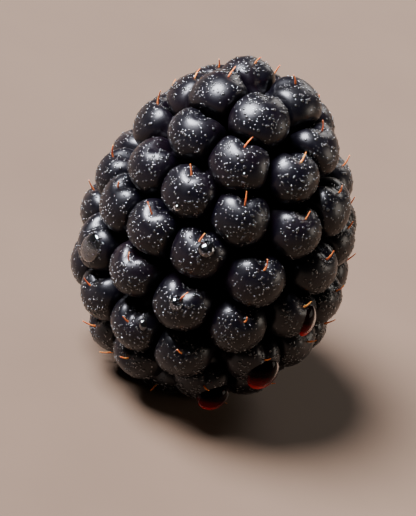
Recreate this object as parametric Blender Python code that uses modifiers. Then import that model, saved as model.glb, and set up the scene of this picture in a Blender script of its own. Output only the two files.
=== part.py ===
"""A ripe bramble berry, upright on its stem end.

An aggregate fruit: stone-fruit beads (drupelets) sit in eight rows on a core (the receptacle). Each
drupelet is a dome pressed flat where its neighbours, the core or the resting surface meet it, with a
cleft on the side that faces the apex. Z is up, the origin is the middle of the underside, and -Y is
the front. All lengths are in metres.
"""

import math

import bmesh
import bpy
import numpy as np
from mathutils import Vector

MM = 0.001

# The egg-shaped surface that the drupelets' centres lie on.
HALF_HEIGHT = 14.1 * MM
HALF_WIDTH = 9.8 * MM
SQUARENESS = 2.0
TAPER = 0.18
MIDDLE = Vector((0.0, 0.0, 15.2 * MM))

# Rows from the apex to the stem end: how many drupelets, the first one's turn from the front, and how
# far the row drifts round at the back, which staggers rows that are stacked at the front.
FIRST_ROW = 2.85 * MM
ROW_PITCH = 4.4 * MM
ROWS = (
    (4, 15, 0),
    (8, -3, 0),
    (11, 9, 0),
    (13, -6, 7),
    (13, -6, -7),
    (13, 2, -1),
    (10, 18, 0),
    (7, -10, 0),
)
APEX_ROWS = 3

# Drupelets that grew off their row: (row, place in it): (turn in degrees, rise in metres).
STRAYS = {
    (0, 0): (-9, -0.6 * MM),
    (0, 2): (22, 0.0),
    (0, 3): (4, -0.9 * MM),
    (1, 0): (2, -0.2 * MM),
    (1, 1): (2, -0.7 * MM),
    (1, 2): (-10, 0.8 * MM),
    (1, 4): (0, 0.4 * MM),
    (1, 6): (-12, 0.3 * MM),
    (1, 7): (1, 0.1 * MM),
    (2, 1): (3, -0.9 * MM),
    (2, 8): (-6, 1.2 * MM),
    (2, 10): (0, 0.5 * MM),
    (3, 0): (-1, 0.6 * MM),
    (3, 1): (3, -0.6 * MM),
    (3, 2): (10, -0.5 * MM),
    (3, 3): (6, 0.4 * MM),
    (3, 12): (0, 0.6 * MM),
    (4, 1): (1, -0.8 * MM),
    (4, 2): (3, 0.2 * MM),
    (4, 11): (-1, -0.5 * MM),
    (4, 12): (0, 0.6 * MM),
    (5, 0): (-1, -0.6 * MM),
    (5, 1): (10, -0.4 * MM),
    (5, 2): (7, 0.2 * MM),
    (6, 9): (-6, 0.3 * MM),
}

# One drupelet: half its width, half its length along the berry, its height out and its depth in.
HALF_ACROSS = 2.8 * MM
HALF_ALONG = 2.75 * MM
DOME_HEIGHT = 2.5 * MM
ROOT_DEPTH = 3.6 * MM
ROOT_SPREAD = 0.6
PLUMPNESS = 0.04
GAP = 0.3 * MM
FUSED_OVERLAP = 0.5 * MM
BED_DEPTH = 1.0 * MM
BED_FLOOR = 2.6 * MM
PRESS_SHARPNESS = 10
REST_CLEARANCE = 0.1 * MM

# The cleft: how deep, how wide as a slope, and the angles above the dome's peak where it opens.
CLEFT_DEPTH = 0.5 * MM
CLEFT_WIDTH = 0.3
CLEFT_FROM = math.radians(15)
CLEFT_TO = math.radians(60)

# The core and its scar, where the berry left its stem.
SCAR_RADIUS = 3.0 * MM
CORE_SIDES = 24
CORE_STEPS = 9

# Facets of one drupelet, round its peak and from peak to root.
AROUND, UP = 12, 6


def outline():
    """The centre surface in half section, from apex to stem end: arc length, radius and height."""
    share = np.cos(np.linspace(0.0, math.pi, 721))
    height = HALF_HEIGHT * share
    bulge = np.sqrt(1.0 - np.abs(share) ** SQUARENESS)
    radius = HALF_WIDTH * bulge * (1.0 - TAPER * share)
    steps = np.hypot(np.diff(radius), np.diff(height))
    return np.concatenate([[0.0], np.cumsum(steps)]), radius, height


ARC, RADIUS, HEIGHT = outline()


def section_at(arc):
    """Radius, height and the outward normal's two parts, this far along the outline."""
    step = 0.05 * MM
    radius, height = np.interp(arc, ARC, RADIUS), np.interp(arc, ARC, HEIGHT)
    before, after = arc - step, arc + step
    out = np.interp(before, ARC, HEIGHT) - np.interp(after, ARC, HEIGHT)
    up = np.interp(after, ARC, RADIUS) - np.interp(before, ARC, RADIUS)
    size = math.hypot(out, up)
    return radius, height, out / size, up / size


class Site:
    """Where one drupelet sits, and which way its dome, its apex side and its flank face."""

    def __init__(self, row, place):
        count, first, drift = ROWS[row]
        turn, rise = STRAYS.get((row, place), (0, 0.0))
        azimuth = math.radians(first + 360.0 * place / count + turn)
        azimuth += math.radians(drift) * (1.0 - math.cos(azimuth)) / 2
        arc = FIRST_ROW + ROW_PITCH * row - rise
        radius, height, out, up = section_at(arc)
        away = Vector((math.sin(azimuth), -math.cos(azimuth), 0.0))
        self.row, self.place, self.away, self.radius = row, place, away, radius
        self.plump = 1.0 + PLUMPNESS * math.sin(2.4 * place + 1.7 * row)
        self.fused = row < APEX_ROWS
        self.centre = MIDDLE + away * radius + Vector((0.0, 0.0, height))
        self.out = Vector((away.x * out, away.y * out, up)).normalized()
        self.flank = Vector((math.cos(azimuth), math.sin(azimuth), 0.0))
        self.apexward = self.flank.cross(self.out) * -1.0


def press_planes(site, sites):
    """The flat limits on a drupelet: each one's direction from the centre, and its distance."""
    planes = [(-site.out, ROOT_DEPTH)]
    planes.append((Vector((0.0, 0.0, -1.0)), site.centre.z - REST_CLEARANCE))
    planes.append((-site.away, max(site.radius - SCAR_RADIUS - GAP, 0.0)))
    for other in sites:
        step = other.centre - site.centre
        if other is site or step.length > 3.0 * HALF_ACROSS:
            continue
        joined = site.fused and other.fused
        spare = FUSED_OVERLAP / 2 if joined else -GAP / 2
        planes.append((step.normalized(), step.length / 2 + spare))
    return [plane for plane in planes if plane[1] > 0.5 * MM]


def reach(direction, site, planes):
    """How far a drupelet's skin is from its centre, in one direction."""
    out, across = direction.dot(site.out), direction.dot(site.flank)
    along = direction.dot(site.apexward)
    if out > 0.0:
        dome = math.hypot(across / HALF_ACROSS, along / HALF_ALONG, out / DOME_HEIGHT)
    else:
        dome = math.hypot(across / HALF_ACROSS, along / HALF_ALONG) / (1.0 - ROOT_SPREAD * out)
    total = (dome / site.plump) ** PRESS_SHARPNESS
    for normal, distance in planes:
        total += max(direction.dot(normal) / distance, 0.0) ** PRESS_SHARPNESS
    skin = total ** (-1.0 / PRESS_SHARPNESS)
    opening = (math.atan2(along, out) - CLEFT_FROM) / (CLEFT_TO - CLEFT_FROM)
    opening = min(max(opening, 0.0), 1.0) if out > -0.2 else 0.0
    return skin - CLEFT_DEPTH * opening * math.exp(-((across / CLEFT_WIDTH) ** 2))


def drupelet(name, site, sites, collection):
    mesh = bpy.data.meshes.new(name)
    bm = bmesh.new()
    bmesh.ops.create_uvsphere(bm, u_segments=AROUND, v_segments=UP, radius=1.0)
    planes = press_planes(site, sites)
    for vert in bm.verts:
        x, y, z = vert.co.normalized()
        direction = (site.flank * x + site.apexward * y + site.out * z).normalized()
        vert.co = direction * reach(direction, site, planes)
    bmesh.ops.triangulate(bm, faces=bm.faces)
    bm.to_mesh(mesh)
    bm.free()
    mesh.shade_smooth()
    part = bpy.data.objects.new(name, mesh)
    part.location = site.centre
    collection.objects.link(part)
    return part


def turned(name, section, collection):
    """A solid of revolution about Z from its outline at +X, listed from the top down."""
    mesh = bpy.data.meshes.new(name)
    bm = bmesh.new()
    ring = [bm.verts.new((x, 0.0, z)) for x, z in section]
    for pair in zip(ring, ring[1:]):
        bm.edges.new(pair)
    bm.to_mesh(mesh)
    bm.free()
    part = bpy.data.objects.new(name, mesh)
    screw = part.modifiers.new("Turned", "SCREW")
    screw.steps = screw.render_steps = CORE_SIDES
    screw.use_merge_vertices = True
    screw.merge_threshold = 0.00001
    collection.objects.link(part)
    return part


def inset_arc(first, last, count, depth):
    """Points on the surface that lies this deep under the drupelets' centres."""
    points = []
    for arc in np.linspace(first, last, count):
        radius, height, out, up = section_at(arc)
        points.append((radius - depth * out, MIDDLE.z + height - depth * up))
    return points


def apex_bed(collection):
    """The cap of flesh that joins the roots of the drupelets round the apex."""
    edge = FIRST_ROW + ROW_PITCH * (APEX_ROWS - 1)
    outer = inset_arc(1.0 * MM, edge, 6, BED_DEPTH)
    inner = inset_arc(1.0 * MM, edge, 6, BED_FLOOR)[::-1]
    top, hollow = outer[0][1] + 0.1 * MM, inner[-1][1] + 0.1 * MM
    inner = [point for point in inner if point[0] > 0.5 * MM]
    return turned("apex_bed", [(0.0, top)] + outer + inner + [(0.0, hollow)], collection)


def apex_cluster(sites, cutters, collection):
    """The three small rows round the apex, grown together into one piece."""
    fused = [site for site in sites if site.fused]
    cluster = drupelet("apex_cluster", fused[0], sites, collection)
    for number, site in enumerate(fused[1:], 2):
        drupelet(f"apex_drupelet_{number:02d}", site, sites, cutters)
    apex_bed(cutters)
    for tool in cutters.objects:
        tool.hide_render = True
        tool.display_type = "WIRE"
    union = cluster.modifiers.new("Grown together", "BOOLEAN")
    union.operation = "UNION"
    union.operand_type = "COLLECTION"
    union.collection = cutters
    union.solver = "EXACT"
    return cluster


def receptacle(collection):
    """The core, a gap inside the drupelets' roots, with a neck down to its scar."""
    core = inset_arc(1.0 * MM, ARC[-1] - 6.5 * MM, CORE_STEPS, ROOT_DEPTH + GAP)
    core = [point for point in core if point[0] > SCAR_RADIUS / 2]
    tip = core[0][1] + 0.6 * MM
    neck = [(SCAR_RADIUS, core[-1][1]), (SCAR_RADIUS, 0.0), (0.0, 0.0)]
    return turned("receptacle", [(0.0, tip)] + core + neck, collection)


def material(name, colour, roughness):
    made = bpy.data.materials.new(name)
    made.use_nodes = True
    shader = made.node_tree.nodes["Principled BSDF"]
    shader.inputs["Base Color"].default_value = (*colour, 1.0)
    shader.inputs["Roughness"].default_value = roughness
    shader.inputs["Metallic"].default_value = 0.0
    return made


def new_collection(name):
    made = bpy.data.collections.new(name)
    bpy.context.scene.collection.children.link(made)
    return made


def build():
    for thing in list(bpy.data.objects):
        bpy.data.objects.remove(thing, do_unlink=True)
    berry = new_collection("bramble_berry")
    cutters = new_collection("cutters")
    skin = material("drupelet skin", (0.012, 0.008, 0.016), 0.22)
    apex_skin = material("apex drupelet skin", (0.016, 0.008, 0.018), 0.22)
    pith = material("receptacle pith", (0.62, 0.55, 0.40), 0.7)
    sites = [Site(row, place) for row in range(len(ROWS)) for place in range(ROWS[row][0])]
    apex_cluster(sites, cutters, berry).data.materials.append(apex_skin)
    for site in sites:
        if not site.fused:
            name = f"drupelet_{site.row + 1}_{site.place + 1:02d}"
            drupelet(name, site, sites, berry).data.materials.append(skin)
    receptacle(berry).data.materials.append(pith)


build()
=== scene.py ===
"""A ripe bramble berry, upright on its stem end, on a plain pale surface.

An aggregate fruit: 79 glossy drupelets pressed together on a pale core, each with the dried style of
its flower, and beaded with dew. Lengths are in metres, Z is up, and -Y is the front.
"""

import math

import bmesh
import bpy
import numpy as np
from mathutils import Matrix, Vector


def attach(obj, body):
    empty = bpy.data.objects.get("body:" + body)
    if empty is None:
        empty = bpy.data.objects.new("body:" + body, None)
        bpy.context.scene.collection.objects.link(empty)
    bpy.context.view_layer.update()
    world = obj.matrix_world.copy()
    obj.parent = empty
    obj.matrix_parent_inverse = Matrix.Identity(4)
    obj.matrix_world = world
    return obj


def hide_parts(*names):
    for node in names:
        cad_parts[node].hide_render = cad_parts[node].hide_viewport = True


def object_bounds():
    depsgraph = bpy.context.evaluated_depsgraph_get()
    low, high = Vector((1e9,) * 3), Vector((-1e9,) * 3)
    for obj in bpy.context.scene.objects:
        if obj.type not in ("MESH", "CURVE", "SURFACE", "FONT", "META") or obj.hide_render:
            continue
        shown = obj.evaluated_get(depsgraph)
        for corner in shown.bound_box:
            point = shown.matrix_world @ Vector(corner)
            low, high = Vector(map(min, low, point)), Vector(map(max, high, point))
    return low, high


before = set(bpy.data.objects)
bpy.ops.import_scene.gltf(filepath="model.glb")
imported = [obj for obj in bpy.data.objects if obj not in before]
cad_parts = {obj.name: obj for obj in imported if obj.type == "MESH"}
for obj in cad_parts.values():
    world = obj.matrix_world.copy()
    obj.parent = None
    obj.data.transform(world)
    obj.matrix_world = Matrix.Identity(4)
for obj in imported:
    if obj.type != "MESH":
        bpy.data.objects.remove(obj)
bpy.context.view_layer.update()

# ---------------------------------------------------------------------------------------------------
# The drupelets' places. Each bead of the fruit grew from one ovary of the flower, and they sit in
# eight rows on an egg-shaped core. Row and place follow the same rule as the solids.

MM = 0.001
HALF_HEIGHT = 14.1 * MM
HALF_WIDTH = 9.8 * MM
SQUARENESS = 2.0
TAPER = 0.18
MIDDLE = Vector((0.0, 0.0, 15.2 * MM))

# How many drupelets a row has, its first one's turn from the front, and its drift at the back.
FIRST_ROW = 2.85 * MM
ROW_PITCH = 4.4 * MM
ROWS = (
    (4, 15, 0),
    (8, -3, 0),
    (11, 9, 0),
    (13, -6, 7),
    (13, -6, -7),
    (13, 2, -1),
    (10, 18, 0),
    (7, -10, 0),
)
APEX_ROWS = 3

# How much the drupelets differ in plumpness, and how fast that changes by row and by place.
PLUMPNESS = 0.04
PLUMP_BY_ROW = 1.7
PLUMP_BY_PLACE = 2.4

# Drupelets that grew off their row: (row, place in it): (turn in degrees, rise in metres).
STRAYS = {
    (0, 0): (-9, -0.6 * MM),
    (0, 2): (22, 0.0),
    (0, 3): (4, -0.9 * MM),
    (1, 0): (2, -0.2 * MM),
    (1, 1): (2, -0.7 * MM),
    (1, 2): (-10, 0.8 * MM),
    (1, 4): (0, 0.4 * MM),
    (1, 6): (-12, 0.3 * MM),
    (1, 7): (1, 0.1 * MM),
    (2, 1): (3, -0.9 * MM),
    (2, 8): (-6, 1.2 * MM),
    (2, 10): (0, 0.5 * MM),
    (3, 0): (-1, 0.6 * MM),
    (3, 1): (3, -0.6 * MM),
    (3, 2): (10, -0.5 * MM),
    (3, 3): (6, 0.4 * MM),
    (3, 12): (0, 0.6 * MM),
    (4, 1): (1, -0.8 * MM),
    (4, 2): (3, 0.2 * MM),
    (4, 11): (-1, -0.5 * MM),
    (4, 12): (0, 0.6 * MM),
    (5, 0): (-1, -0.6 * MM),
    (5, 1): (10, -0.4 * MM),
    (5, 2): (7, 0.2 * MM),
    (6, 9): (-6, 0.3 * MM),
}


def outline():
    """The surface of the centres in half section, from apex to stem end: arc, radius and height."""
    share = np.cos(np.linspace(0.0, math.pi, 721))
    height = HALF_HEIGHT * share
    bulge = np.sqrt(1.0 - np.abs(share) ** SQUARENESS)
    radius = HALF_WIDTH * bulge * (1.0 - TAPER * share)
    steps = np.hypot(np.diff(radius), np.diff(height))
    return np.concatenate([[0.0], np.cumsum(steps)]), radius, height


ARC, RADIUS, HEIGHT = outline()


def section_at(arc):
    """Radius, height and the outward normal's two parts, this far along the outline."""
    step = 0.05 * MM
    radius, height = np.interp(arc, ARC, RADIUS), np.interp(arc, ARC, HEIGHT)
    before, after = arc - step, arc + step
    out = np.interp(before, ARC, HEIGHT) - np.interp(after, ARC, HEIGHT)
    up = np.interp(after, ARC, RADIUS) - np.interp(before, ARC, RADIUS)
    size = math.hypot(out, up)
    return radius, height, out / size, up / size


class Site:
    """Where one drupelet sits: its centre and its own axes, flank, apexward and out."""

    def __init__(self, row, place):
        count, first, drift = ROWS[row]
        turn, rise = STRAYS.get((row, place), (0, 0.0))
        azimuth = math.radians(first + 360.0 * place / count + turn)
        azimuth += math.radians(drift) * (1.0 - math.cos(azimuth)) / 2
        radius, height, out, up = section_at(FIRST_ROW + ROW_PITCH * row - rise)
        away = Vector((math.sin(azimuth), -math.cos(azimuth), 0.0))
        self.row, self.place, self.away, self.radius = row, place, away, radius
        self.plump = 1.0 + PLUMPNESS * math.sin(PLUMP_BY_PLACE * place + PLUMP_BY_ROW * row)
        self.centre = MIDDLE + away * radius + Vector((0.0, 0.0, height))
        self.out = Vector((away.x * out, away.y * out, up)).normalized()
        self.flank = Vector((math.cos(azimuth), math.sin(azimuth), 0.0))
        self.apexward = self.flank.cross(self.out) * -1.0
        self.axes = np.array([self.flank, self.apexward, self.out])
        self.name = f"{row + 1}_{place + 1:02d}"


sites = {}
for row in range(len(ROWS)):
    for place in range(ROWS[row][0]):
        sites[row, place] = Site(row, place)

# ---------------------------------------------------------------------------------------------------
# The drupelets: tight glossy skins full of juice. Each is a dome pressed flat by its neighbours, the
# core and the surface under it, with a cleft towards the apex that splits it into two soft lobes.

HALF_ACROSS = 2.8 * MM
HALF_ALONG = 2.75 * MM
DOME_HEIGHT = 2.5 * MM
ROOT_DEPTH = 3.6 * MM
ROOT_SPREAD = 0.6

# What presses on a drupelet: neighbours within reach, the core, and the surface it stands on.
SKIN_GAP = 0.05 * MM
CORE_GAP = 0.3 * MM
REST_CLEARANCE = 0.1 * MM
SCAR_RADIUS = 3.0 * MM
PRESS_REACH = 3.0 * HALF_ACROSS
PRESS_LEAST = 0.5 * MM
PRESS_SHARPNESS = 9

# The cleft opens between two angles above the dome's peak, and the style stands in a dimple in it.
CLEFT_DEPTH = 0.60 * MM
CLEFT_SHARE_AT_APEX = 0.5
CLEFT_WIDTH = 0.27
CLEFT_FROM = math.radians(14)
CLEFT_TO = math.radians(72)
CLEFT_LOWEST = -0.2
DIMPLE_DEPTH = 0.05 * MM
DIMPLE_WIDTH = 0.16
STYLE_TILT = math.radians(37)

# The skin's own slow swelling: its height, its waves on the three axes, and its shift by drupelet.
SWELLING = 0.05 * MM
SWELL_WAVES = (3.1, 2.7, 4.0)
SWELL_BY_ROW = 0.7
SWELL_BY_PLACE = 2.1
SWELL_TWIST = 1.3


def press_planes(site):
    """The flat limits on a drupelet: each one's direction from the centre, and its distance."""
    planes = [(-site.out, ROOT_DEPTH)]
    planes.append((Vector((0.0, 0.0, -1.0)), site.centre.z - REST_CLEARANCE))
    planes.append((-site.away, max(site.radius - SCAR_RADIUS - CORE_GAP, 0.0)))
    for other in sites.values():
        step = other.centre - site.centre
        if other is not site and step.length < PRESS_REACH:
            planes.append((step.normalized(), (step.length - SKIN_GAP) / 2))
    return [plane for plane in planes if plane[1] > PRESS_LEAST]


for site in sites.values():
    site.planes = press_planes(site)


def skin_reach(site, ways):
    """How far the skin is from the drupelet's centre, along directions in the site's own axes."""
    ways = ways / np.linalg.norm(ways, axis=1, keepdims=True)
    across, along, out = ways.T
    width = np.hypot(across / HALF_ACROSS, along / HALF_ALONG)
    over = np.hypot(width, out / DOME_HEIGHT)
    under = width / (1.0 - ROOT_SPREAD * np.minimum(out, 0.0))
    total = (np.where(out > 0.0, over, under) / site.plump) ** PRESS_SHARPNESS
    world = ways @ site.axes
    for normal, distance in site.planes:
        facing = np.maximum(world @ np.array(normal) / distance, 0.0)
        total += facing ** PRESS_SHARPNESS
    skin = total ** (-1.0 / PRESS_SHARPNESS)
    opening = (np.arctan2(along, out) - CLEFT_FROM) / (CLEFT_TO - CLEFT_FROM)
    opening = np.where(out > CLEFT_LOWEST, np.clip(opening, 0.0, 1.0), 0.0)
    opening = opening * opening * (3.0 - 2.0 * opening)
    cleft = CLEFT_DEPTH * (CLEFT_SHARE_AT_APEX if site.row == 0 else 1.0)
    skin -= cleft * opening * np.exp(-((across / CLEFT_WIDTH) ** 2))
    style_way = np.array([0.0, math.sin(STYLE_TILT), math.cos(STYLE_TILT)])
    near_style = np.linalg.norm(ways - style_way, axis=1)
    skin -= DIMPLE_DEPTH * np.exp(-((near_style / DIMPLE_WIDTH) ** 2))
    phase = SWELL_BY_PLACE * site.place + SWELL_BY_ROW * site.row
    on_flank, on_length, on_rise = SWELL_WAVES
    swell = np.sin(on_flank * across + phase) * np.sin(on_length * along + SWELL_TWIST * phase)
    return skin + SWELLING * (swell + np.sin(on_rise * out + phase))


# The skin's slope is felt this far to two sides of a way. The first side is square to a way that
# points down into the fruit, which nothing that sits on the skin takes.
FEELER = 0.03
INWARD = (0.31, 0.67, -0.67)


def skin_points(site, ways):
    """The points of the skin in these directions of the site's own axes, and the normals there."""
    ways = ways / np.linalg.norm(ways, axis=1, keepdims=True)
    side = np.cross(ways, INWARD)
    side /= np.linalg.norm(side, axis=1, keepdims=True)
    corners = []
    for near in (ways, ways + FEELER * side, ways + FEELER * np.cross(ways, side)):
        near = near / np.linalg.norm(near, axis=1, keepdims=True)
        corners.append((near * skin_reach(site, near)[:, None]) @ site.axes)
    normals = np.cross(corners[1] - corners[0], corners[2] - corners[0])
    points = [site.centre + Vector(point) for point in corners[0]]
    return points, [Vector(normal).normalized() for normal in normals]


def skin_point(site, way):
    """One point of the skin and the normal there."""
    points, normals = skin_points(site, np.array([way]))
    return points[0], normals[0]


def finished(piece_name, bm, look, slot_name, *nodes):
    """A bmesh made a smooth piece of the berry, in its material, standing for these solids."""
    mesh = bpy.data.meshes.new(piece_name)
    bm.to_mesh(mesh)
    bm.free()
    mesh.shade_smooth()
    mesh.materials.append(look)
    piece = bpy.data.objects.new(piece_name, mesh)
    bpy.context.scene.collection.objects.link(piece)
    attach(piece, "root")
    if nodes:
        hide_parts(*nodes)
    return piece


def new_look(look_name):
    """A material with its node tree and its shader."""
    look = bpy.data.materials.new(look_name)
    look.use_nodes = True
    return look, look.node_tree, look.node_tree.nodes["Principled BSDF"]


def grain(tree, scale, detail=3.0, roughness=0.5, distortion=0.0):
    """Noise on the object's own coordinates, with this many features to the metre."""
    coordinates = tree.nodes.new("ShaderNodeTexCoord")
    noise = tree.nodes.new("ShaderNodeTexNoise")
    noise.inputs["Scale"].default_value = scale
    noise.inputs["Detail"].default_value = detail
    noise.inputs["Roughness"].default_value = roughness
    noise.inputs["Distortion"].default_value = distortion
    tree.links.new(coordinates.outputs["Object"], noise.inputs["Vector"])
    return noise.outputs["Fac"]


def graded(tree, factor, *stops):
    """A colour ramp on a factor, from stops of (position, red, green, blue)."""
    ramp = tree.nodes.new("ShaderNodeValToRGB")
    while len(ramp.color_ramp.elements) < len(stops):
        ramp.color_ramp.elements.new(1.0)
    for element, (position, *colour) in zip(ramp.color_ramp.elements, stops):
        element.position = position
        element.color = (*colour, 1.0)
    tree.links.new(factor, ramp.inputs["Fac"])
    return ramp.outputs["Color"]


def ranged(tree, factor, low, high):
    """A factor from 0.3 to 0.7 spread over a range of values."""
    spread = tree.nodes.new("ShaderNodeMapRange")
    spread.inputs["From Min"].default_value = 0.3
    spread.inputs["From Max"].default_value = 0.7
    spread.inputs["To Min"].default_value = low
    spread.inputs["To Max"].default_value = high
    tree.links.new(factor, spread.inputs["Value"])
    return spread.outputs["Result"]


def bumped(tree, shader, *layers):
    """Bump on a shader, from layers of (height, strength, depth in metres)."""
    below = None
    for height, strength, depth in layers:
        bump = tree.nodes.new("ShaderNodeBump")
        bump.inputs["Strength"].default_value = strength
        bump.inputs["Distance"].default_value = depth
        tree.links.new(height, bump.inputs["Height"])
        if below is not None:
            tree.links.new(below, bump.inputs["Normal"])
        below = bump.outputs["Normal"]
    tree.links.new(below, shader.inputs["Normal"])


drupelet_skin, tree, shader = new_look("drupelet_skin")
tint = graded(
    tree,
    grain(tree, 240.0, 3.0),
    (0.30, 0.0004, 0.0003, 0.0010),
    (0.50, 0.0008, 0.0005, 0.0018),
    (0.72, 0.0024, 0.0006, 0.0018),
)
tree.links.new(tint, shader.inputs["Base Color"])
tree.links.new(ranged(tree, grain(tree, 1400.0, 4.0), 0.29, 0.40), shader.inputs["Roughness"])
shader.inputs["IOR"].default_value = 1.32
shader.inputs["Coat Weight"].default_value = 0.08
shader.inputs["Coat Roughness"].default_value = 0.12
bumped(
    tree,
    shader,
    (grain(tree, 700.0, 2.0), 0.25, 0.00004),
    (grain(tree, 7000.0, 2.0, 0.6), 0.50, 0.000012),
)

SKIN_FINENESS = 5
for site in sites.values():
    bm = bmesh.new()
    bmesh.ops.create_icosphere(bm, subdivisions=SKIN_FINENESS, radius=1.0)
    ways = np.array([vert.co for vert in bm.verts])
    points = (ways * skin_reach(site, ways)[:, None]) @ site.axes
    for vert, point in zip(bm.verts, points):
        vert.co = site.centre + Vector(point)
    node = "apex_cluster" if site.row < APEX_ROWS else f"drupelet_{site.name}"
    finished(f"skin_{site.name}", bm, drupelet_skin, "drupelet_skin", node)

# ---------------------------------------------------------------------------------------------------
# The receptacle: the pithy white core that stays in the picked berry. Its colour turns dark from about
# a millimetre above the surface up, and its stem end is a pale torn scar that stands on the surface.

CORE_INSET = ROOT_DEPTH + CORE_GAP
CORE_FROM_APEX = 1.0 * MM
CORE_FROM_STEM = 6.5 * MM
CORE_RINGS = 25
CORE_CROWN = 0.6 * MM
NECK_TOP = 2.2 * MM
CORE_SEGMENTS = 72

# The scar's rounded rim, its hollow in half section as (radius, height), and its middle.
SCAR_RIM = 0.12 * MM
SCAR_HOLLOW = (
    (2.2 * MM, 0.0),
    (1.9 * MM, 0.08 * MM),
    (1.2 * MM, 0.12 * MM),
    (0.9 * MM, 0.04 * MM),
)
SCAR_MIDDLE = 0.06 * MM

# The heights between which the pale scar gives way to the darker colour of the pith above it.
DARKER_FROM = 0.1 * MM
DARKER_TO = 1.1 * MM

receptacle_pith, tree, shader = new_look("receptacle_pith")
coordinates = tree.nodes.new("ShaderNodeTexCoord")
level = tree.nodes.new("ShaderNodeSeparateXYZ")
tree.links.new(coordinates.outputs["Object"], level.inputs["Vector"])
darker_above = tree.nodes.new("ShaderNodeMapRange")
darker_above.inputs["From Min"].default_value = DARKER_FROM
darker_above.inputs["From Max"].default_value = DARKER_TO
tree.links.new(level.outputs["Z"], darker_above.inputs["Value"])
pale = graded(
    tree,
    grain(tree, 900.0, 4.0, 0.6),
    (0.30, 0.42, 0.33, 0.18),
    (0.52, 0.62, 0.54, 0.36),
    (0.75, 0.72, 0.67, 0.50),
)
dark = graded(
    tree,
    grain(tree, 600.0, 3.0),
    (0.35, 0.020, 0.003, 0.008),
    (0.70, 0.060, 0.010, 0.016),
)
mixed = tree.nodes.new("ShaderNodeMix")
mixed.data_type = "RGBA"
tree.links.new(darker_above.outputs["Result"], mixed.inputs[0])
tree.links.new(pale, mixed.inputs[6])
tree.links.new(dark, mixed.inputs[7])
tree.links.new(mixed.outputs[2], shader.inputs["Base Color"])
tree.links.new(ranged(tree, grain(tree, 2000.0), 0.55, 0.85), shader.inputs["Roughness"])
bumped(tree, shader, (grain(tree, 1800.0, 5.0, 0.7), 0.7, 0.0001))

core = []
for arc in np.linspace(CORE_FROM_APEX, ARC[-1] - CORE_FROM_STEM, CORE_RINGS):
    radius, height, out, up = section_at(arc)
    core.append((radius - CORE_INSET * out, MIDDLE.z + height - CORE_INSET * up))
core = [point for point in core if point[0] > SCAR_RADIUS / 2]
neck = [(SCAR_RADIUS, NECK_TOP), (SCAR_RADIUS, SCAR_RIM), (SCAR_RADIUS - SCAR_RIM, 0.0)]
bm = bmesh.new()
ring = [bm.verts.new((x, 0.0, z)) for x, z in (*core, *neck, *SCAR_HOLLOW)]
top = bm.verts.new((0.0, 0.0, core[0][1] + CORE_CROWN))
foot = bm.verts.new((0.0, 0.0, SCAR_MIDDLE))
chain = [top, *ring, foot]
for pair in zip(chain, chain[1:]):
    bm.edges.new(pair)
bmesh.ops.spin(
    bm,
    geom=bm.verts[:] + bm.edges[:],
    axis=(0.0, 0.0, 1.0),
    cent=(0.0, 0.0, 0.0),
    angle=math.tau,
    steps=CORE_SEGMENTS,
    use_merge=True,
)
bmesh.ops.remove_doubles(bm, verts=bm.verts, dist=0.01 * MM)
bmesh.ops.recalc_face_normals(bm, faces=bm.faces)
finished("receptacle_core", bm, receptacle_pith, "receptacle_pith", "receptacle")

# ---------------------------------------------------------------------------------------------------
# The styles: dried orange-brown hairs, one from the cleft of most drupelets, which once caught the
# flower's pollen. Each is a thin tapering thread with a bend of its own, and a small blunt tip.

STYLE_RADIUS = 0.09 * MM
STYLE_POINTS = (-0.25, 0.15, 0.5, 0.8, 1.0)
STYLE_TAPER = 0.55
STYLE_RISE = 0.75
STYLE_DROOP = 0.35
STYLE_SINK = 0.4
STYLES_LOST = 0.12
dice = np.random.default_rng(11)

dried_style, tree, shader = new_look("dried_style")
rust = graded(
    tree,
    grain(tree, 1500.0, 3.0),
    (0.30, 0.34, 0.060, 0.012),
    (0.50, 0.72, 0.190, 0.035),
    (0.72, 0.90, 0.36, 0.080),
)
tree.links.new(rust, shader.inputs["Base Color"])
tree.links.new(ranged(tree, grain(tree, 4000.0), 0.40, 0.65), shader.inputs["Roughness"])
shader.inputs["Subsurface Weight"].default_value = 0.3
shader.inputs["Subsurface Scale"].default_value = 0.0002
bumped(tree, shader, (grain(tree, 9000.0, 2.0), 0.5, 0.00001))

for row in range(len(ROWS)):
    threads = bpy.data.curves.new(f"styles_{row + 1}", "CURVE")
    threads.dimensions = "3D"
    threads.bevel_depth = STYLE_RADIUS
    threads.bevel_resolution = 1
    threads.resolution_u = 5
    threads.use_fill_caps = True
    for place in range(ROWS[row][0]):
        site = sites[row, place]
        lean = dice.uniform(-0.25, 0.25)
        length = dice.uniform(0.7, 1.25)
        bend = dice.uniform(-0.5, 0.5)
        if dice.random() < STYLES_LOST:
            continue
        way = (0.0, math.sin(STYLE_TILT), math.cos(STYLE_TILT))
        foot, normal = skin_point(site, way)
        rise = site.apexward * STYLE_RISE + site.out * STYLE_RISE
        grow = (rise + site.flank * lean).normalized()
        side = grow.cross(site.out).normalized()
        droop = (site.apexward - site.out * STYLE_SINK).normalized()
        thread = threads.splines.new("NURBS")
        thread.points.add(len(STYLE_POINTS) - 1)
        thread.order_u = 4
        thread.use_endpoint_u = True
        for point, share in zip(thread.points, STYLE_POINTS):
            along = grow * share * length * MM
            curl = (side * bend + droop * STYLE_DROOP) * max(share, 0.0) ** 2 * length * MM
            point.co = (*(foot + along + curl), 1.0)
            point.radius = 1.0 - STYLE_TAPER * max(share, 0.0)
    piece = bpy.data.objects.new(f"styles_{row + 1}", threads)
    threads.materials.append(dried_style)
    bpy.context.scene.collection.objects.link(piece)
    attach(piece, "root")

# ---------------------------------------------------------------------------------------------------
# The dew: beads of clear water that cling to the open tops of the domes, with none in the creases.
# The finest ones only glint, and the rounder ones show dark where the skin itself shines; both have a
# near-black body colour, a painted shade for the skin's shine lost under the water.

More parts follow.
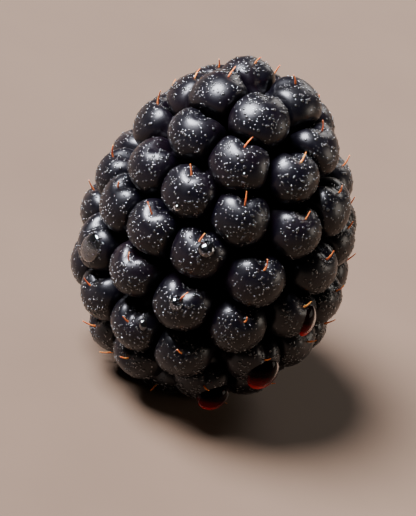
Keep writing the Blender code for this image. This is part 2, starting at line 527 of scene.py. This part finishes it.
DEW_LOWEST = 0.4 * MM
BEAD_HEIGHT = 0.42


def water(look_name, glint, body_tone, transmission, blur):
    """Water on skin. The glint is the index of its outer film, which catches the light, and blur its
    roughness. Its base colour is near white for clear water and near black for dew, where the black is
    a painted shade that stands for the skin's shine lost under the bead. That colour and the
    transmission say how little of the skin's darkness it takes on."""
    look, tree, shader = new_look(look_name)
    shader.inputs["Base Color"].default_value = (body_tone, body_tone, body_tone, 1.0)
    shader.inputs["Transmission Weight"].default_value = transmission
    shader.inputs["IOR"].default_value = 1.33
    shader.inputs["Coat Weight"].default_value = 1.0
    shader.inputs["Coat IOR"].default_value = glint
    shader.inputs["Coat Roughness"].default_value = blur
    tree.links.new(ranged(tree, grain(tree, 3000.0), blur, blur + 0.03), shader.inputs["Roughness"])
    bumped(tree, shader, (grain(tree, 2500.0, 1.0), 0.05, 0.00001))
    return look


clear_water = water("clear_water", glint=1.8, body_tone=0.9, transmission=1.0, blur=0.02)
# The dew's near-black base colour is a painted shade: it stands for the skin's darkness and its shine
# lost under the water.
bright_dew = water("bright_dew", glint=2.8, body_tone=0.01, transmission=0.3, blur=0.12)
round_dew = water("round_dew", glint=1.36, body_tone=0.01, transmission=0.10, blur=0.06)


def standing(place, normal):
    """A frame of axes at a point, with Z along the normal there."""
    return Matrix.Translation(place) @ normal.to_track_quat("Z", "Y").to_matrix().to_4x4()


def dew(piece_name, row, look, count, reach, lean, middling, spread, largest):
    """The beads on one row: how many on each drupelet, how far they reach round a way that leans from
    the dome's peak to the apex (degrees), and their radii (millimetres)."""
    lean = math.radians(lean)
    bead_mesh = bpy.data.meshes.new("bead")
    bm = bmesh.new()
    bmesh.ops.create_uvsphere(bm, u_segments=6, v_segments=4, radius=1.0)
    bm.to_mesh(bead_mesh)
    bm.free()
    beads = bmesh.new()
    for place in range(ROWS[row][0]):
        site = sites[row, place]
        tilt = math.radians(reach) * np.sqrt(dice.random(count))
        turn = dice.uniform(0.0, math.tau, count)
        radii = np.minimum(middling * np.exp(dice.normal(0.0, spread, count)), largest) * MM
        across, along, out = np.sin(tilt) * np.cos(turn), np.sin(tilt) * np.sin(turn), np.cos(tilt)
        apexward = along * math.cos(lean) + out * math.sin(lean)
        out = out * math.cos(lean) - along * math.sin(lean)
        ways = np.array([across, apexward, out]).T
        patch = bmesh.new()
        for foot, normal, size in zip(*skin_points(site, ways), radii):
            if foot.z < DEW_LOWEST:
                continue
            bead = bead_mesh.copy()
            shape = Matrix.Diagonal((size, size, size * BEAD_HEIGHT, 1.0))
            bead.transform(standing(foot, normal) @ shape)
            patch.from_mesh(bead)
            bpy.data.meshes.remove(bead)
        mesh = bpy.data.meshes.new("patch")
        patch.to_mesh(mesh)
        patch.free()
        beads.from_mesh(mesh)
        bpy.data.meshes.remove(mesh)
    finished(piece_name, beads, look, "clear_water")
    bpy.data.meshes.remove(bead_mesh)


for row in range(len(ROWS)):
    dew(
        f"dew_fine_{row + 1}",
        row,
        bright_dew,
        count=80,
        reach=64,
        lean=0,
        middling=0.052,
        spread=0.26,
        largest=0.10,
    )
    dew(
        f"dew_beads_{row + 1}",
        row,
        round_dew,
        count=85,
        reach=60,
        lean=12,
        middling=0.116,
        spread=0.24,
        largest=0.18,
    )

# ---------------------------------------------------------------------------------------------------
# The large drops: clear water that has run together into a few rounded drops, most of them on the
# front drupelets. Each hugs its dome, and sags a little down it.

DROP_FINENESS = 4
DROP_ROOT = 0.12
DROP_LOWEST = 0.05 * MM

# Each drop's row and place, the way to it on the drupelet's own axes, its half widths across and along
# in degrees, and its rise and sag in millimetres.
DROPS = (
    (3, 0, (0.32, 0.42, 0.84), 17, 18, 0.62, 0.10),
    (4, 0, (-0.09, 0.40, 0.90), 13, 14, 0.50, 0.08),
    (4, 11, (0.55, 0.20, 0.80), 22, 30, 0.28, 0.12),
    (5, 12, (0.51, 0.65, 0.56), 8, 11, 0.30, 0.06),
    (2, 10, (0.10, -0.55, 0.80), 7, 6, 0.22, 0.04),
    (3, 1, (0.00, 0.80, 0.50), 7, 8, 0.24, 0.04),
    (1, 0, (0.30, -0.30, 0.90), 6, 5, 0.20, 0.03),
    (4, 6, (0.20, 0.35, 0.90), 14, 16, 0.52, 0.10),
    (2, 5, (-0.15, 0.40, 0.90), 10, 11, 0.36, 0.06),
)


def settled_drop(site, way, across, along, rise, sag):
    """A bmesh of a drop that lies on a dome, from a shape as in DROPS."""
    way = np.array(way) / np.linalg.norm(way)
    up_dome = np.array([0.0, 1.0, 0.0]) - way * way[1]
    up_dome /= np.linalg.norm(up_dome)
    drop = bmesh.new()
    bmesh.ops.create_icosphere(drop, subdivisions=DROP_FINENESS, radius=1.0)
    shares = np.array([vert.co for vert in drop.verts])
    sideways = np.outer(shares[:, 0], np.cross(up_dome, way)) * math.tan(math.radians(across))
    lengthways = np.outer(shares[:, 1], up_dome) * math.tan(math.radians(along))
    ways = way + sideways + lengthways
    ways /= np.linalg.norm(ways, axis=1, keepdims=True)
    rises = np.where(shares[:, 2] > 0.0, rise, DROP_ROOT) * shares[:, 2] * MM
    points = (ways * (skin_reach(site, ways) + rises)[:, None]) @ site.axes
    points[:, 2] -= sag * MM * np.maximum(shares[:, 2], 0.0)
    points[:, 2] = np.maximum(points[:, 2], DROP_LOWEST - site.centre.z)
    for vert, point in zip(drop.verts, points):
        vert.co = site.centre + Vector(point)
    bmesh.ops.recalc_face_normals(drop, faces=drop.faces)
    return drop


for number, (row, place, *drop_shape) in enumerate(DROPS, 1):
    drop = settled_drop(sites[row, place], *drop_shape)
    finished(f"water_drop_{number}", drop, clear_water, "clear_water")

# ---------------------------------------------------------------------------------------------------
# The juice: dark red drops that have seeped between ripe drupelets low on the berry and hang there.
# Each is painted by height: nearly black at the top, a painted shade, and bright red along its lower
# edge, a painted glow of light through the drop.

# Their shapes, in the same terms as the clear drops'.
JUICE_DROPS = (
    (6, 0, (0.45, 0.16, 0.85), 34, 24, 0.90, 0.45),
    (5, 1, (0.15, 0.00, 0.98), 38, 34, 0.60, 0.75),
    (4, 2, (0.30, -0.05, 0.95), 22, 38, 0.35, 0.30),
)

berry_juice, tree, shader = new_look("berry_juice")
low_part = tree.nodes.new("ShaderNodeAttribute")
low_part.attribute_name = "lowness"
# Painted light: this colour runs by height, from a painted shade at the top to a painted red glow of
# light along the lower edge.
depth = graded(
    tree,
    low_part.outputs["Fac"],
    (0.42, 0.004, 0.0001, 0.0003),
    (0.70, 0.12, 0.0008, 0.002),
    (0.92, 0.85, 0.003, 0.008),
)
tree.links.new(depth, shader.inputs["Base Color"])
shader.inputs["Transmission Weight"].default_value = 0.50
shader.inputs["IOR"].default_value = 1.10
tree.links.new(ranged(tree, grain(tree, 2000.0), 0.0, 0.04), shader.inputs["Roughness"])
bumped(tree, shader, (grain(tree, 1500.0, 1.0), 0.05, 0.00002))

for number, (row, place, *drop_shape) in enumerate(JUICE_DROPS, 1):
    drop = settled_drop(sites[row, place], *drop_shape)
    piece = finished(f"juice_drop_{number}", drop, berry_juice, "berry_juice")
    heights = [vert.co.z for vert in piece.data.vertices]
    lowness = piece.data.attributes.new("lowness", "FLOAT", "POINT")
    span = max(heights) - min(heights)
    lowness.data.foreach_set("value", [(max(heights) - height) / span for height in heights])

# ---------------------------------------------------------------------------------------------------
# The surface it stands on, the light and the camera: a pale beige sweep, a broad cool light above and
# to the left, dim warm ones behind and to the right, and a long lens from the front and above.

FLOOR_HALF_WIDTH = 1.5

low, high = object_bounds()
berry_middle = (low + high) / 2

sweep_paint, tree, shader = new_look("sweep_paint")
paint = graded(
    tree,
    grain(tree, 60.0, 4.0),
    (0.30, 0.060, 0.034, 0.0175),
    (0.70, 0.067, 0.039, 0.0205),
)
tree.links.new(paint, shader.inputs["Base Color"])
shader.inputs["Roughness"].default_value = 0.8

bm = bmesh.new()
bmesh.ops.create_grid(bm, x_segments=2, y_segments=2, size=FLOOR_HALF_WIDTH)
mesh = bpy.data.meshes.new("floor")
bm.to_mesh(mesh)
bm.free()
mesh.materials.append(sweep_paint)
floor = bpy.data.objects.new("floor", mesh)
bpy.context.scene.collection.objects.link(floor)


def soft_light(light_name, place, size, power, colour):
    """A square soft light that faces the berry."""
    data = bpy.data.lights.new(light_name, "AREA")
    data.shape = "SQUARE"
    data.size = size
    data.energy = power
    data.color = colour
    light = bpy.data.objects.new(light_name, data)
    light.location = place
    light.rotation_mode = "QUATERNION"
    light.rotation_quaternion = (berry_middle - light.location).to_track_quat("-Z", "Y")
    bpy.context.scene.collection.objects.link(light)


key_data = bpy.data.lights.new("key", "SUN")
key_data.energy = 31.0
key_data.angle = math.radians(30)
key_data.color = (0.89, 0.90, 1.0)
key = bpy.data.objects.new("key", key_data)
key.rotation_mode = "QUATERNION"
key.rotation_quaternion = Vector((0.50, 0.03, -0.86)).to_track_quat("-Z", "Y")
bpy.context.scene.collection.objects.link(key)
soft_light("back", Vector((0.10, 0.30, 0.20)), 0.20, 0.70, (1.0, 0.95, 0.90))
soft_light("side", Vector((0.30, 0.02, 0.10)), 0.12, 0.30, (1.0, 0.88, 0.76))

world = bpy.data.worlds.new("studio")
world.use_nodes = True
tree = world.node_tree
facing = tree.nodes.new("ShaderNodeTexCoord")
split = tree.nodes.new("ShaderNodeSeparateXYZ")
tree.links.new(facing.outputs["Generated"], split.inputs["Vector"])
glow = graded(
    tree,
    split.outputs["Z"],
    (0.00, 0.440, 0.375, 0.320),
    (0.10, 0.380, 0.325, 0.280),
    (0.24, 0.035, 0.034, 0.036),
    (1.00, 0.018, 0.018, 0.024),
)
tree.links.new(glow, tree.nodes["Background"].inputs["Color"])
bpy.context.scene.world = world

CAMERA_RISE = math.radians(32.5)
CAMERA_ROLL = math.radians(18.0)
CAMERA_DISTANCE = 230 * MM
CAMERA_LENS = 180.9
AIM_LEFT = 1.06 * MM
AIM_BELOW = 2.75 * MM
right = Vector((1.0, 0.0, 0.0))
up = Vector((0.0, math.sin(CAMERA_RISE), math.cos(CAMERA_RISE)))
back = Vector((0.0, -math.cos(CAMERA_RISE), math.sin(CAMERA_RISE)))
rolled_right = right * math.cos(CAMERA_ROLL) + up * math.sin(CAMERA_ROLL)
rolled_up = up * math.cos(CAMERA_ROLL) - right * math.sin(CAMERA_ROLL)
aim = MIDDLE - rolled_right * AIM_LEFT - rolled_up * AIM_BELOW
data = bpy.data.cameras.new("camera")
data.lens = CAMERA_LENS
data.sensor_width = 36.0
data.clip_start = 0.01
camera = bpy.data.objects.new("camera", data)
camera.matrix_world = Matrix.Translation(aim + back * CAMERA_DISTANCE) @ Matrix(
    (rolled_right, rolled_up, back)
).transposed().to_4x4()
bpy.context.scene.collection.objects.link(camera)
bpy.context.scene.camera = camera
